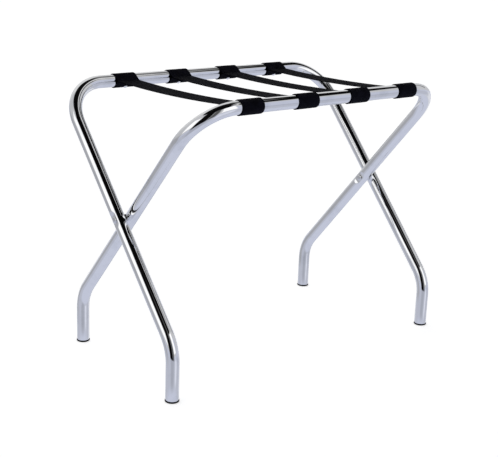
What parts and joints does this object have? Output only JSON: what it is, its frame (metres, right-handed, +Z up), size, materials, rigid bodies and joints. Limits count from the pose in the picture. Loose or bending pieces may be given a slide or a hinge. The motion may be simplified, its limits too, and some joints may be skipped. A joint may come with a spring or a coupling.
{
  "type": "folding luggage rack",
  "caption": "Folding rack of bent chrome tube: crossed leg frames on side pivots, joined at the top by black webbing straps that hold a case.",
  "frame": {"origin": "on the floor, in the middle of the rack between the four feet", "axes": "+X along the top bars, +Y from the front bar to the back bar, +Z up"},
  "size_m": [0.713, 0.418, 0.5456],
  "materials": {
    "chrome_tube": "bright polished chrome plate on bent steel tube",
    "rivet_steel": "bright domed rivet heads",
    "spacer_steel": "bright turned washer",
    "black_webbing": "matt woven nylon webbing with black stitching",
    "black_plug": "moulded black plastic with a fine sheen"
  },
  "bodies": {
    "outer_frame": {"outer_frame": "chrome_tube", "pivot_rivet_left": "rivet_steel", "pivot_rivet_right": "rivet_steel", "spacer_left": "spacer_steel", "spacer_right": "spacer_steel", "plug_front_left": "black_plug", "plug_front_right": "black_plug", "strap_rivet_back_1": "rivet_steel", "strap_rivet_back_2": "rivet_steel", "strap_rivet_back_3": "rivet_steel", "strap_rivet_back_4": "rivet_steel", "strap_1": "black_webbing", "strap_2": "black_webbing", "strap_3": "black_webbing", "strap_4": "black_webbing"},
    "inner_frame": {"inner_frame": "chrome_tube", "plug_back_left": "black_plug", "plug_back_right": "black_plug", "strap_rivet_front_1": "rivet_steel", "strap_rivet_front_2": "rivet_steel", "strap_rivet_front_3": "rivet_steel", "strap_rivet_front_4": "rivet_steel"}
  },
  "joints": [
    {"name": "fold", "type": "hinge", "parent": "outer_frame", "child": "inner_frame", "pos_m": [0, 0, 0.30333], "axis": [-1, 0, 0], "range_deg": [0, 71.4], "deforming": ["strap_1", "strap_2", "strap_3", "strap_4"]}
  ]
}
